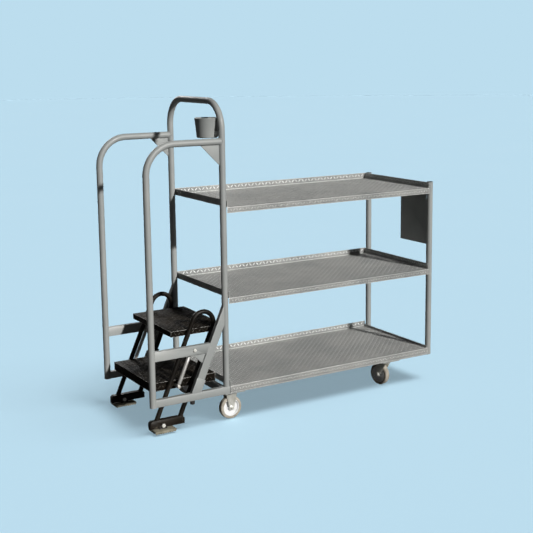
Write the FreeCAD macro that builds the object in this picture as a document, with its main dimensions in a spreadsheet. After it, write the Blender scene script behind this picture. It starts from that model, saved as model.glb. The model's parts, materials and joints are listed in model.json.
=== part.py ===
"""Order-picking trolley with a built-in, spring-lifted two-tread step unit.

Millimetres. +Z is up, +X runs along the shelves away from the steps, near is -Y and far is +Y.
The origin is on the floor, under the middle of the trolley.
"""
import FreeCAD
import Part
import math
import operator
import os
import Sketcher

DIMENSIONS = {
    # tubular end frames
    "left_x": -472, "right_x": 900, "rail_x": -900, "side_y": 300,
    "tube_radius": 17, "tube_wall": 2.5,
    "hoop_top": 1702, "hoop_bend": 145, "handrail_height": 1500, "handrail_bend": 155,
    # base frame
    "base_bottom": 159, "base_tall": 40, "base_wide": 25, "base_wall": 2.5, "end_member_wide": 20,
    # shelves
    "shelf_pitch": 480, "deck_sheet": 2, "lip_tall": 35, "low_lip_tall": 15, "flange_tall": 30,
    "low_flange_tall": 35, "gusset_edge": 105, "gusset_sheet": 4, "cap_tall": 3,
    "screw_radius": 4, "screw_tall": 3, "screw_height": 22, "screw_inner": 222, "screw_outer": 265,
    # fixed bars and guides of the step unit
    "bar_bottom": 402, "bar_tall": 50, "bar_end": -567, "lean": 24,
    "guide_wide": 43, "guide_deep": 25, "guide_wall": 3, "guide_offset": 71,
    "guide_low": -400, "guide_length": 560, "cover_low": -360, "cover_wide": 52, "cover_tall": 85,
    "cover_sheet": 4, "buffer_x": -675, "buffer_radius": 12.5, "buffer_tall": 20,
    "bracket_wide": 75.6, "bracket_tall": 52, "bracket_corner": 23.6, "bracket_low": -138.8,
    # step unit, at the top of its travel
    "crown_x": -580, "crown_height": 549, "crown_bend": 62, "step_radius": 12.5, "step_wall": 2,
    "stringer": 570, "step_y": 253, "tread_half": 240.5, "tread_sheet": 3,
    "upper_front": -760, "upper_back": -447, "upper_top": 525, "upper_tall": 30,
    "lower_front": -881, "lower_back": -506, "lower_top": 266, "lower_tall": 45,
    "foot_front": -902, "foot_back": -707, "foot_bottom": 32, "foot_top": 72, "foot_wide": 30,
    "foot_wall": 3, "foot_snip": 10, "foot_end": 12,
    "slide_low": -274, "slide_high": -55, "slide_tall": 60, "slide_wide": 36, "block_deep": 37.5,
    "plate_wide": 42, "plate_sheet": 5,
    # swivelling foot pads
    "pad_front": -889, "pad_back": -771, "pad_outer": 300, "pad_inner": 211, "pad_bottom": 10,
    "pad_rubber": 12.5, "pad_plate": 2.5, "pad_snip": 4, "ear_gap": 16.5, "ear_radius": 14, "ear_half": 22,
    "pivot_x": -832, "pivot_height": 44, "pivot_radius": 5.95, "pivot_head": 7, "pivot_grip": 39,
    # traction springs
    "spring_x": -660, "spring_height": 428, "spring_y": 276.5, "spring_length": 206,
    "spring_radius": 9.5, "spring_bore": 8, "spring_rod": 4, "spring_bolt": 5, "bolt_head": 6,
    "spring_grip": 45.7, "spacer_radius": 8, "fit": 0.05,
    # castors
    "castor_height": 155, "castor_y": 250, "fixed_x": -425, "swivel_x": 618, "wheel_radius": 62.5,
    "wheel_half": 16, "tread_depth": 14.5, "hub_half": 17.7, "fork_gap": 18, "fork_sheet": 3,
    "axle_radius": 5, "trail": 38, "fork_foot": 14, "castor_sheet": 4, "crown_bottom": 136,
    "plate_half_long": 55, "plate_half_wide": 42.5, "hole_half_long": 42, "hole_half_wide": 29,
    "mount_half_long": 60, "mount_inner": 195, "mount_outer": 312, "castor_bolt": 4, "castor_head": 5.5,
    # holders
    "cup_x": -508, "cup_y": -211, "cup_bottom": 1516, "cup_tall": 102, "cup_foot": 55, "cup_rim": 65,
    "cup_wall": 2.5, "strap_low": 11, "strap_tall": 26, "strap_half": 8, "strap_long": 45,
    "holder_near": -272, "holder_far": -29, "holder_bottom": 823, "holder_top": 1130,
    "holder_deep": 18, "holder_sheet": 1.5, "holder_open": 70, "tab_tall": 30, "tab_low": 40,
}
SWIVEL_ANGLE = {"near": -78, "far": 64}
SIDES = {"near": -1, "far": 1}
KINGPIN = 6
HOUSING_RADIUS = 32
HOUSING_TALL = 12
SPARE = 10
BOLT_END = 2
HEXAGON = 1.85
SYMBOLS = {"+": operator.add, "-": operator.sub, "*": operator.mul, "/": operator.truediv}
TINY = 1e-9

DOC = FreeCAD.newDocument("picking_trolley")
NODES = {}


class Size:
    """A length that knows its number and the sheet expression that gives it."""

    def __init__(self, number, text):
        self.number = number
        self.text = text

    def __add__(self, other):
        return combine(self, "+", other)

    def __radd__(self, other):
        return combine(other, "+", self)

    def __sub__(self, other):
        return combine(self, "-", other)

    def __rsub__(self, other):
        return combine(other, "-", self)

    def __mul__(self, other):
        return combine(self, "*", other)

    __rmul__ = __mul__

    def __truediv__(self, other):
        return combine(self, "/", other)

    def __neg__(self):
        return combine(0, "-", self)


def as_size(value):
    return value if isinstance(value, Size) else Size(value, "(%.10g)" % value)


def combine(left, symbol, right):
    left, right = as_size(left), as_size(right)
    number = SYMBOLS[symbol](left.number, right.number)
    return Size(number, "(%s %s %s)" % (left.text, symbol, right.text))


def make_sheet():
    """Write the driving dimensions to the sheet and give them back as sizes."""
    sheet = DOC.addObject("Spreadsheet::Sheet", "dims")
    sizes = {}
    for row, (alias, number) in enumerate(DIMENSIONS.items(), start=1):
        sheet.set("B%d" % row, str(number))
        sheet.setAlias("B%d" % row, alias)
        sizes[alias] = Size(number, "dims." + alias)
    DOC.recompute()
    return sizes


D = make_sheet()
COS = math.cos(math.radians(DIMENSIONS["lean"]))
SIN = math.sin(math.radians(DIMENSIONS["lean"]))
LEAN = FreeCAD.Rotation(FreeCAD.Vector(0, 1, 0), DIMENSIONS["lean"])
ALONG = {
    "X": FreeCAD.Rotation(FreeCAD.Vector(0, 1, 0), 90),
    "Y": FreeCAD.Rotation(FreeCAD.Vector(1, 0, 0), -90),
    "Z": FreeCAD.Rotation(),
}
ABOUT_Z = FreeCAD.Vector(0, 0, 1)


# ---------------------------------------------------------------- document helpers

def bind(thing, path, size):
    thing.setExpression(path, as_size(size).text)


def place(thing, spot, turn=None):
    """Put a thing's own origin at a spot, after an optional turn."""
    if turn is not None:
        thing.Placement = FreeCAD.Placement(FreeCAD.Vector(), turn)
    for axis, size in zip("xyz", spot):
        bind(thing, "Placement.Base." + axis, size)
    return thing


def shift(thing, spot, turn=None):
    """Move a thing by way of a one-piece group, so that its own placement stays."""
    return place(group(thing), spot, turn)


def box(low, high):
    block = DOC.addObject("Part::Box", "block")
    for side, bottom, top in zip(("Length", "Width", "Height"), low, high):
        bind(block, side, as_size(top) - bottom)
    return place(block, low)


def rod(radius, start, length, along="Z"):
    round_bar = DOC.addObject("Part::Cylinder", "rod")
    bind(round_bar, "Radius", radius)
    bind(round_bar, "Height", length)
    return place(round_bar, start, ALONG[along])


def hexagon(corner_radius, start, length, along="Z"):
    bar = DOC.addObject("Part::Prism", "hexagon")
    bar.Polygon = 6
    bind(bar, "Circumradius", corner_radius)
    bind(bar, "Height", length)
    return place(bar, start, ALONG[along])


def cone(foot, rim, start, length):
    taper = DOC.addObject("Part::Cone", "cone")
    bind(taper, "Radius1", foot)
    bind(taper, "Radius2", rim)
    bind(taper, "Height", length)
    return place(taper, start)


def join(*pieces):
    result = DOC.addObject("Part::MultiFuse", "join")
    result.Shapes = list(pieces)
    result.Refine = True
    return result


def cut(base, *tools):
    result = DOC.addObject("Part::Cut", "cut")
    result.Base = base
    result.Tool = tools[0] if len(tools) == 1 else join(*tools)
    return result


def group(*pieces):
    result = DOC.addObject("Part::Compound", "group")
    result.Links = list(pieces)
    return result


def keep(name, thing):
    """Make a thing one sub-part of the trolley, under its own name."""
    thing.Label = name
    NODES[name] = thing
    return thing


def sketch_on(body, role):
    plane = next(item for item in body.Origin.OriginFeatures if item.Role == role)
    sketch = body.newObject("Sketcher::SketchObject", "profile")
    sketch.AttachmentSupport = (plane, [""])
    sketch.MapMode = "FlatFace"
    return sketch


def hold(sketch, shape, end, spot):
    """Fix one end of a sketch line or arc to a spot, measured from the sketch's origin."""
    for letter, axis, size in (("X", -2, as_size(spot[0])), ("Y", -1, as_size(spot[1]))):
        if abs(size.number) < TINY:
            sketch.addConstraint(Sketcher.Constraint("PointOnObject", shape, end, axis))
            continue
        ends = (-1, 1, shape, end) if size.number > 0 else (shape, end, -1, 1)
        size = size if size.number > 0 else -size
        index = sketch.addConstraint(Sketcher.Constraint("Distance" + letter, *ends, size.number))
        sketch.setExpression("Constraints[%d]" % index, size.text)


def point(spot):
    return FreeCAD.Vector(as_size(spot[0]).number, as_size(spot[1]).number, 0)


def draw_outline(sketch, corners):
    """Draw a closed outline of straight lines."""
    count = len(corners)
    for index, corner in enumerate(corners):
        after = corners[(index + 1) % count]
        sketch.addGeometry(Part.LineSegment(point(corner), point(after)), False)
    for index, corner in enumerate(corners):
        line = sketch.GeometryCount - count + index
        following = sketch.GeometryCount - count + (index + 1) % count
        sketch.addConstraint(Sketcher.Constraint("Coincident", line, 2, following, 1))
        hold(sketch, line, 1, corner)


def draw_circle(sketch, radius):
    circle = sketch.addGeometry(Part.Circle(FreeCAD.Vector(), ABOUT_Z, as_size(radius).number), False)
    sketch.addConstraint(Sketcher.Constraint("Coincident", circle, 3, -1, 1))
    index = sketch.addConstraint(Sketcher.Constraint("Radius", circle, as_size(radius).number))
    sketch.setExpression("Constraints[%d]" % index, as_size(radius).text)


def draw_bent_path(sketch, corners, bend):
    """Draw runs along the sketch's axes with a quarter bend at each corner, and count the edges."""
    here = corners[0]
    radius = as_size(bend).number
    edges = 0
    for index in range(1, len(corners)):
        run = (point(corners[index]) - point(corners[index - 1])).normalize()
        last = index == len(corners) - 1
        stop = corners[index] if last else (corners[index][0] - bend * run.x,
                                            corners[index][1] - bend * run.y)
        if (point(stop) - point(here)).Length > TINY:
            line = sketch.addGeometry(Part.LineSegment(point(here), point(stop)), False)
            hold(sketch, line, 1, here)
            hold(sketch, line, 2, stop)
            edges += 1
        if last:
            return edges
        turn = (point(corners[index + 1]) - point(corners[index])).normalize()
        end = (corners[index][0] + bend * turn.x, corners[index][1] + bend * turn.y)
        centre = point(stop) + turn * radius
        middle = centre + (run - turn).normalize() * radius
        arc = sketch.addGeometry(Part.Arc(point(stop), middle, point(end)), False)
        first, second = (1, 2) if run.cross(turn).z > 0 else (2, 1)
        hold(sketch, arc, first, stop)
        hold(sketch, arc, second, end)
        number = sketch.addConstraint(Sketcher.Constraint("Radius", arc, radius))
        sketch.setExpression("Constraints[%d]" % number, as_size(bend).text)
        edges += 1
        here = end
    return edges


def prism(role, corners, length):
    """A straight-sided piece: an outline on one origin plane, padded along the plane's normal."""
    body = DOC.addObject("PartDesign::Body", "prism")
    sketch = sketch_on(body, role)
    draw_outline(sketch, corners)
    pad = body.newObject("PartDesign::Pad", "pad")
    pad.Profile = sketch
    bind(pad, "Length", length)
    return body


def rectangle(wide, tall):
    x, y = wide / 2, tall / 2
    return [(-x, -y), (x, -y), (x, y), (-x, y)]


def box_section(wide, tall, wall, length):
    """A rectangular tube along +X, with its own origin in the middle of its first end."""
    body = DOC.addObject("PartDesign::Body", "box_section")
    sketch = sketch_on(body, "YZ_Plane")
    draw_outline(sketch, rectangle(wide, tall))
    draw_outline(sketch, rectangle(wide - wall * 2, tall - wall * 2))
    pad = body.newObject("PartDesign::Pad", "pad")
    pad.Profile = sketch
    bind(pad, "Length", length)
    return body


def bent_tube(role, corners, bend, radius, wall):
    """A round tube that starts upwards from its own origin and is bent in one plane."""
    body = DOC.addObject("PartDesign::Body", "bent_tube")
    ring = sketch_on(body, "XY_Plane")
    draw_circle(ring, radius)
    draw_circle(ring, radius - wall)
    path = sketch_on(body, role)
    edges = draw_bent_path(path, corners, bend)
    DOC.recompute()
    pipe = body.newObject("PartDesign::AdditivePipe", "pipe")
    pipe.Profile = ring
    pipe.Spine = (path, ["Edge%d" % (index + 1) for index in range(edges)])
    return body


def turned(corners):
    """A piece turned on a lathe about its own Z axis, from an outline of radius and height."""
    body = DOC.addObject("PartDesign::Body", "turned")
    sketch = sketch_on(body, "XZ_Plane")
    draw_outline(sketch, corners)
    turning = body.newObject("PartDesign::Revolution", "turning")
    turning.Profile = sketch
    turning.ReferenceAxis = (sketch, ["V_Axis"])
    turning.Angle = 360
    return body


def straight_tube(radius, wall, start, length):
    outer = rod(radius, start, length)
    return cut(outer, rod(radius - wall, start, length))


def bolt(radius, start, length, head, along="Y", facing=1):
    """A hexagon bolt that clamps a length from start: head before it, nut after it, facing 1 or -1."""
    axis = {"Y": (0, 1, 0), "Z": (0, 0, 1)}[along]

    def bar(shape, thick, low, high):
        first = low if facing > 0 else -high
        return shape(thick, tuple(base + step * first for base, step in zip(start, axis)), high - low, along)

    shank = bar(rod, radius, -head / 2, length + head + BOLT_END)
    top = bar(hexagon, radius * HEXAGON, -head, as_size(0))
    return join(shank, top, bar(hexagon, radius * HEXAGON, length, length + head))


def leaning(across, upwards):
    """X and Z of a spot given across and up along the leaning slide, from the middle of the crown."""
    return (D["crown_x"] + across * COS + upwards * SIN, D["crown_height"] - across * SIN + upwards * COS)


# ---------------------------------------------------------------- fixed frame

BASE_TOP = D["base_bottom"] + D["base_tall"]
OUTER_Y = D["side_y"] + D["tube_radius"]


def post_core(post_x, side_y):
    """A solid bar the size of a post, to shape the tube ends that meet it."""
    return rod(D["tube_radius"], (post_x, side_y, 0), D["hoop_top"])


def push_hoop():
    """The two left posts and the push handle over them, bent from one tube."""
    reach = D["side_y"] * 2
    rise = D["hoop_top"] - BASE_TOP
    tube = bent_tube("YZ_Plane", [(0, 0), (0, rise), (reach, rise), (reach, 0)],
                     D["hoop_bend"], D["tube_radius"], D["tube_wall"])
    keep("push_hoop", place(tube, (D["left_x"], -D["side_y"], BASE_TOP)))


def handrail(side, sign):
    """A rail from the left post over the steps and down to the base rail."""
    rise = D["handrail_height"] - D["base_bottom"]
    reach = D["left_x"] - D["rail_x"]
    tube = bent_tube("XZ_Plane", [(0, 0), (0, rise), (reach, rise)],
                     D["handrail_bend"], D["tube_radius"], D["tube_wall"])
    place(tube, (D["rail_x"], D["side_y"] * sign, D["base_bottom"]))
    keep("handrail_" + side, cut(tube, post_core(D["left_x"], D["side_y"] * sign)))


def right_post(side, sign):
    top = BASE_TOP + D["shelf_pitch"] * 2 + D["lip_tall"]
    tube = straight_tube(D["tube_radius"], D["tube_wall"],
                         (D["right_x"], D["side_y"] * sign, D["base_bottom"]), top - D["base_bottom"])
    keep("right_post_" + side, tube)
    return rod(D["tube_radius"], (D["right_x"], D["side_y"] * sign, top), D["cap_tall"])


def base_rail(side, sign):
    """A base rail from the handrail's foot to the right post, shaped to both round tubes."""
    tube = box_section(D["base_wide"], D["base_tall"], D["base_wall"], D["right_x"] - D["rail_x"])
    place(tube, (D["rail_x"], D["side_y"] * sign, D["base_bottom"] + D["base_tall"] / 2))
    ends = [post_core(post_x, D["side_y"] * sign) for post_x in (D["rail_x"], D["right_x"])]
    keep("base_rail_" + side, cut(tube, *ends))


def cross_member(middle_x, wide, half_length):
    tube = box_section(wide, D["base_tall"], D["base_wall"], half_length * 2)
    return place(tube, (middle_x, -half_length, D["base_bottom"] + D["base_tall"] / 2),
                 FreeCAD.Rotation(ABOUT_Z, 90))


def cross_members():
    """Bars that join the two base rails under the bottom deck."""
    between = D["side_y"] - D["base_wide"] / 2
    end_x = D["left_x"] + D["tube_radius"] - D["deck_sheet"] * 6 - D["end_member_wide"]
    keep("cross_member_left", cross_member(end_x, D["end_member_wide"], between))
    middle = cross_member((D["fixed_x"] + D["swivel_x"]) / 2, D["base_wide"], between)
    castor = cross_member(D["swivel_x"], D["base_wide"], between)
    right = cross_member(D["right_x"], D["base_wide"], between)
    shaped = cut(right, *[post_core(D["right_x"], D["side_y"] * sign) for sign in SIDES.values()])
    keep("cross_members", group(middle, castor, shaped))


def deck(name, level, right_lip, flange):
    """A folded tray: lips up on the left, far and right, and a flange down on the near side."""
    low, high = D["left_x"] + D["tube_radius"], D["right_x"] - D["tube_radius"]
    half, sheet = OUTER_Y, D["deck_sheet"]
    body = DOC.addObject("PartDesign::Body", "deck")
    folds = [
        ([(low, -half), (high, -half), (high, half), (low, half)], sheet, False),
        ([(low, -half), (low + sheet, -half), (low + sheet, half - sheet), (high, half - sheet),
          (high, half), (low, half)], D["lip_tall"], False),
        ([(high - sheet, -half), (high, -half), (high, half), (high - sheet, half)], right_lip, False),
        ([(low, -half), (high, -half), (high, sheet - half), (low, sheet - half)], flange, True),
    ]
    for corners, tall, downwards in folds:
        sketch = sketch_on(body, "XY_Plane")
        draw_outline(sketch, corners)
        pad = body.newObject("PartDesign::Pad", "pad")
        pad.Profile = sketch
        pad.Reversed = downwards
        bind(pad, "Length", tall)
    keep(name, place(body, (0, 0, level)))


def handrail_gussets():
    """Triangular plates in the corners between the left posts and the handrails."""
    edge, sheet = D["gusset_edge"], D["gusset_sheet"]
    plates = []
    for sign in SIDES.values():
        plate = prism("XZ_Plane", [(0, 0), (-edge, 0), (0, -edge)], sheet)
        plates.append(place(plate, (D["left_x"] - D["tube_radius"], D["side_y"] * sign + sheet / 2,
                                    D["handrail_height"] - D["tube_radius"])))
    keep("handrail_gussets", group(*plates))


# ---------------------------------------------------------------- fixed parts of the step unit

def on_guide(bar, sign):
    """Put a bar that stands on its own origin where the leaning guide runs."""
    x, z = leaning(D["guide_offset"], D["guide_low"])
    return place(bar, (x, D["side_y"] * sign, z), LEAN)


def guide_envelope(sign):
    """A solid bar the size of a leaning guide."""
    outline = rectangle(D["guide_wide"], D["guide_deep"])
    return on_guide(prism("XY_Plane", outline, D["guide_length"]), sign)


def under_base_top(front, back, y):
    """The space under the base rails' top, to cut a leaning bar level with it."""
    return box((front, y - D["guide_deep"], 0), (back, y + D["guide_deep"], BASE_TOP))


def guide(side, sign):
    """A leaning channel, open towards the steps, from the base rail up to the left post."""
    half, deep, wall = D["guide_wide"] / 2, D["guide_deep"] / 2, D["guide_wall"]
    outside, inside = deep * sign, deep * -sign
    web = (deep - wall) * sign
    outline = [(-half, outside), (half, outside), (half, inside), (half - wall, inside),
               (half - wall, web), (wall - half, web), (wall - half, inside), (-half, inside)]
    channel = on_guide(prism("XY_Plane", outline, D["guide_length"]), sign)
    y = D["side_y"] * sign
    below = under_base_top(D["rail_x"], D["left_x"], y)
    beyond = box((D["left_x"], y - D["guide_deep"], BASE_TOP), (0, y + D["guide_deep"], D["hoop_top"]))
    keep("guide_" + side, cut(channel, below, beyond, post_core(D["left_x"], y)))


def guide_feet():
    """Cover plates on the outside of each guide's foot, and the rubber buffer under each base rail."""
    plates, buffers = [], []
    sheet = D["cover_sheet"]
    for sign in SIDES.values():
        outer = (D["side_y"] + D["guide_deep"] / 2) * sign
        plate = prism("XZ_Plane", rectangle(D["cover_wide"], D["cover_tall"]), sheet)
        x, z = leaning(D["guide_offset"], D["cover_low"] + D["cover_tall"] / 2)
        place(plate, (x, outer + (0 if sign < 0 else sheet), z), LEAN)
        plates.append(cut(plate, under_base_top(D["rail_x"], D["left_x"], outer)))
        foot = (D["buffer_x"], D["side_y"] * sign, D["base_bottom"] - D["buffer_tall"])
        buffers.append(rod(D["buffer_radius"], foot, D["buffer_tall"]))
    keep("guide_feet", group(*plates))
    keep("base_buffers", group(*buffers))


def drill(radius, x, z):
    """A bar right across the trolley, to drill both of its sides in line."""
    return rod(radius, (x, -OUTER_Y * 2, z), OUTER_Y * 4, "Y")


def step_bar(side, sign):
    """A bar from the handrail's post to the guide; the spring hangs from it."""
    tube = box_section(D["base_wide"], D["bar_tall"], D["base_wall"], D["bar_end"] - D["rail_x"])
    place(tube, (D["rail_x"], D["side_y"] * sign, D["bar_bottom"] + D["bar_tall"] / 2))
    core = post_core(D["rail_x"], D["side_y"] * sign)
    hole = drill(D["spring_bolt"], D["spring_x"], D["spring_height"])
    keep("step_bar_" + side, cut(tube, core, guide_envelope(sign), hole))


def spring_brackets():
    """Triangular plates between each step bar and its guide."""
    plates = []
    sheet = D["gusset_sheet"]
    x, _ = leaning(D["guide_offset"] - D["guide_wide"] / 2, D["bracket_low"])
    corners = [(-D["bracket_wide"], 0), (0, 0), (-D["bracket_corner"], -D["bracket_tall"])]
    for sign in SIDES.values():
        plate = prism("XZ_Plane", corners, sheet)
        plates.append(place(plate, (x, D["side_y"] * sign + sheet / 2, D["bar_bottom"])))
    keep("spring_brackets", group(*plates))


def spring_upper_bolts():
    """Bolts through the step bars, with their heads outside, which carry the springs' upper eyes."""
    bolts = []
    for sign in SIDES.values():
        spot = (D["spring_x"], (D["side_y"] + D["base_wide"] / 2) * sign, D["spring_height"])
        bolts.append(bolt(D["spring_bolt"], spot, D["spring_grip"], D["bolt_head"], facing=-sign))
    keep("spring_upper_bolts", group(*bolts))


# ---------------------------------------------------------------- springs

def eye(height):
    """A flat round spring eye across the slide, and its bolt hole."""
    half = D["spring_radius"]
    ring = rod(half, (0, -half, height), half * 2, "Y")
    return ring, rod(D["spring_bolt"], (0, -half * 2, height), half * 4, "Y")


def lower_eye():
    """X and Z of the springs' lower eyes."""
    return (D["spring_x"] - D["spring_length"] * SIN, D["spring_height"] - D["spring_length"] * COS)


def spring_cylinder(side, sign):
    """The spring's cylinder: it hangs on the lower tread and slides down over its rod."""
    radius, bore = D["spring_radius"], D["spring_bore"]
    neck = D["spring_rod"] + D["fit"]
    foot, shoulder, floor = 7, 14, 24
    mouth = D["spring_length"] - 28
    shell = turned([(0, foot), (radius, shoulder), (radius, mouth), (neck, mouth), (neck, mouth - 10),
                    (bore, mouth - 10), (bore, floor), (0, floor)])
    ring, hole = eye(0)
    x, z = lower_eye()
    keep("spring_cylinder_" + side, shift(cut(join(shell, ring), hole), (x, D["spring_y"] * sign, z), LEAN))


def spring_rods():
    """The polished rods with their pistons and upper eyes, which hang on the step bars."""
    rods = []
    piston = D["spring_bore"] - D["fit"] * 2
    top = D["spring_length"] - 7
    low, high = D["spring_length"] - 76, D["spring_length"] - 66
    x, z = lower_eye()
    for sign in SIDES.values():
        stem = turned([(0, low), (piston, low), (piston, high), (D["spring_rod"], high),
                       (D["spring_rod"], top), (0, top)])
        ring, hole = eye(D["spring_length"])
        rods.append(shift(cut(join(stem, ring), hole), (x, D["spring_y"] * sign, z), LEAN))
    keep("spring_rods", group(*rods))


def spring_lower_bolts():
    """Bolts with spacers that hold the cylinders to the sides of the lower tread."""
    bolts = []
    x, z = lower_eye()
    inner, outer = D["tread_half"] - D["tread_sheet"], D["spring_y"] + D["spring_radius"]
    gap = D["spring_y"] - D["spring_radius"] - D["tread_half"]
    for sign in SIDES.values():
        screw = bolt(D["spring_bolt"], (x, outer * sign, z), outer - inner, D["bolt_head"], facing=-sign)
        spacer_start = D["tread_half"] if sign > 0 else -D["tread_half"] - gap
        spacer = rod(D["spacer_radius"], (x, spacer_start, z), gap, "Y")
        bolts.append(join(screw, spacer))
    keep("spring_lower_bolts", group(*bolts))


# ---------------------------------------------------------------- step unit

def side_hoop(side, sign):
    """A leaning side frame: two stringers and the hand loop between them, bent from one tube."""
    leg, across = D["stringer"], D["crown_bend"] * 2
    rise = D["crown_bend"] + leg
    tube = bent_tube("XZ_Plane", [(0, 0), (0, rise), (-across, rise), (-across, 0)],
                     D["crown_bend"], D["step_radius"], D["step_wall"])
    x, z = leaning(D["crown_bend"], -leg)
    place(tube, (x, D["step_y"] * sign, z), LEAN)
    y = D["step_y"] * sign
    below = box((D["rail_x"] * 2, y - SPARE * 2, -D["stringer"]), (0, y + SPARE * 2, D["foot_top"]))
    keep("side_hoop_" + side, cut(tube, below))


def foot_bar(side, sign):
    """A folded bar under each side frame, open underneath, with softened ends."""
    front, back, low, top = D["foot_front"], D["foot_back"], D["foot_bottom"], D["foot_top"]
    snip, wall, end, y = D["foot_snip"], D["foot_wall"], D["foot_end"], D["step_y"] * sign
    outline = [(front, low), (back, low), (back, top - snip), (back - snip, top), (front + snip, top),
               (front, top - snip)]
    bar = prism("XZ_Plane", outline, D["foot_wide"])
    place(bar, (0, y + D["foot_wide"] / 2, 0))
    half = D["foot_wide"] / 2 - wall
    hollow = box((front + end, y - half, low - SPARE), (back - end, y + half, top - wall))
    hole = drill(D["pivot_radius"], D["pivot_x"], D["pivot_height"])
    keep("foot_bar_" + side, cut(bar, hollow, hole))


def tread(level):
    """The outside and inside of a folded tread: a flat top with a skirt on all four sides."""
    front, back, top, tall = (D["%s_%s" % (level, part)] for part in ("front", "back", "top", "tall"))
    half, sheet = D["tread_half"], D["tread_sheet"]
    outer = box((front, -half, top - tall), (back, half, top))
    inner = box((front + sheet, sheet - half, top - tall - SPARE), (back - sheet, half - sheet, top - sheet))
    return outer, inner


def treads():
    keep("upper_tread", cut(*tread("upper")))
    keep("lower_tread", cut(*tread("lower"), drill(D["spring_bolt"], *lower_eye())))


def slides():
    """Plates on the rear stringers and the plastic blocks on them, which run in the guides."""
    plates, blocks = [], []
    face, sheet, deep = D["step_y"] + D["step_radius"], D["plate_sheet"], D["block_deep"]
    for sign in SIDES.values():
        for middle in (D["slide_low"], D["slide_high"]):
            x, z = leaning(D["guide_offset"], middle)
            plate = prism("XZ_Plane", rectangle(D["plate_wide"], D["slide_tall"]), sheet)
            plates.append(place(plate, (x, face * sign + (sheet if sign > 0 else 0), z), LEAN))
            block = prism("XZ_Plane", rectangle(D["slide_wide"], D["slide_tall"]), deep)
            blocks.append(place(block, (x, (face + sheet) * sign + (deep if sign > 0 else 0), z), LEAN))
    keep("slide_plates", group(*plates))
    keep("slide_blocks", group(*blocks))


def pivot_bolts():
    """Bolts through the foot bars, on which the foot pads tilt."""
    bolts = []
    for sign in SIDES.values():
        spot = (D["pivot_x"], (D["step_y"] + D["pivot_grip"] / 2) * sign, D["pivot_height"])
        bolts.append(bolt(D["pivot_radius"], spot, D["pivot_grip"], D["pivot_head"], facing=-sign))
    keep("pivot_bolts", group(*bolts))


def foot_pad(side, sign):
    """A rubber pad under a steel shoe, whose two ears hang on the pivot bolt."""
    rubber_top = D["pad_bottom"] + D["pad_rubber"]
    plate_top = rubber_top + D["pad_plate"]
    low = D["pad_inner"] if sign > 0 else -D["pad_outer"]
    high = low + D["pad_outer"] - D["pad_inner"]
    front, back, bottom, snip = D["pad_front"], D["pad_back"], D["pad_bottom"], D["pad_snip"]
    rubber = prism("XZ_Plane", [(front + snip, bottom), (back - snip, bottom), (back, bottom + snip),
                                (back, rubber_top), (front, rubber_top), (front, bottom + snip)], high - low)
    keep("pad_rubber_" + side, place(rubber, (0, high, 0)))
    plate = box((front, low, rubber_top), (back, high, plate_top))
    ears, sheet, half = [], D["pad_plate"], D["ear_half"]
    for gap in (-D["ear_gap"] - sheet, D["ear_gap"]):
        y = D["step_y"] * sign + gap
        corner = (D["pivot_x"] + half, y + sheet, D["pivot_height"])
        ears.append(box((D["pivot_x"] - half, y, rubber_top), corner))
        ears.append(rod(D["ear_radius"], (D["pivot_x"], y, D["pivot_height"]), sheet, "Y"))
    hole = drill(D["pivot_radius"] + D["fit"], D["pivot_x"], D["pivot_height"])
    keep("pad_shoe_" + side, cut(join(plate, *ears), hole))


# ---------------------------------------------------------------- castors

def castor_bolt_spots(middle_x, sign):
    for along in SIDES.values():
        for across in SIDES.values():
            yield (middle_x + D["hole_half_long"] * along,
                   D["castor_y"] * sign + D["hole_half_wide"] * across)


def castor_mounts():
    """Plates welded under the base rails, and the bolts that hold the castors to them."""
    plates, bolts, drills = [], [], []
    bottom, half = D["castor_height"], D["mount_half_long"]
    wide = D["mount_outer"] - D["mount_inner"]
    for middle_x in (D["fixed_x"], D["swivel_x"]):
        for sign in SIDES.values():
            low = D["mount_inner"] if sign > 0 else -D["mount_outer"]
            high_corner = (middle_x + half, low + wide, D["base_bottom"])
            plates.append(box((middle_x - half, low, bottom), high_corner))
            for x, y in castor_bolt_spots(middle_x, sign):
                spot = (x, y, bottom - D["castor_sheet"])
                bolts.append(bolt(D["castor_bolt"], spot, D["castor_sheet"] * 2, D["castor_head"], "Z"))
                drills.append(rod(D["castor_bolt"], spot, D["base_tall"]))
    keep("castor_mount_plates", cut(group(*plates), group(*drills)))
    keep("castor_bolts", group(*bolts))


def castor_top_plate(middle_x, sign):
    """A castor's drilled top plate: the plate and the bars that drill it."""
    y, top = D["castor_y"] * sign, D["castor_height"]
    long, wide = D["plate_half_long"], D["plate_half_wide"]
    plate = box((middle_x - long, y - wide, top - D["castor_sheet"]), (middle_x + long, y + wide, top))
    spots = castor_bolt_spots(middle_x, sign)
    return plate, [rod(D["castor_bolt"], (x, hole_y, top - SPARE), SPARE * 2) for x, hole_y in spots]


def fork_legs(outline, foot_x):
    """Two pressed legs with rounded feet, drilled for the axle, about a wheel at foot_x."""
    legs = []
    for start in (D["fork_gap"] + D["fork_sheet"], -D["fork_gap"]):
        legs.append(place(prism("XZ_Plane", outline, D["fork_sheet"]), (0, start, 0)))
        foot = (foot_x, start - D["fork_sheet"], D["wheel_radius"])
        legs.append(rod(D["fork_foot"], foot, D["fork_sheet"], "Y"))
    return legs


def fixed_forks():
    """The fixed castors' housings: a drilled top plate with two legs."""
    forks = []
    height, foot, shoulder = D["castor_height"] - D["castor_sheet"], D["fork_foot"], D["fork_foot"] * 2.5
    outline = [(-foot, D["wheel_radius"]), (foot, D["wheel_radius"]), (shoulder, height), (-shoulder, height)]
    for sign in SIDES.values():
        plate, drills = castor_top_plate(0, sign)
        hole = drill(D["axle_radius"], 0, D["wheel_radius"])
        fork = shift(cut(join(*fork_legs(outline, 0)), hole), (0, D["castor_y"] * sign, 0))
        forks.append(shift(join(cut(plate, *drills), fork), (D["fixed_x"], 0, 0)))
    keep("fixed_forks", group(*forks))


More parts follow.
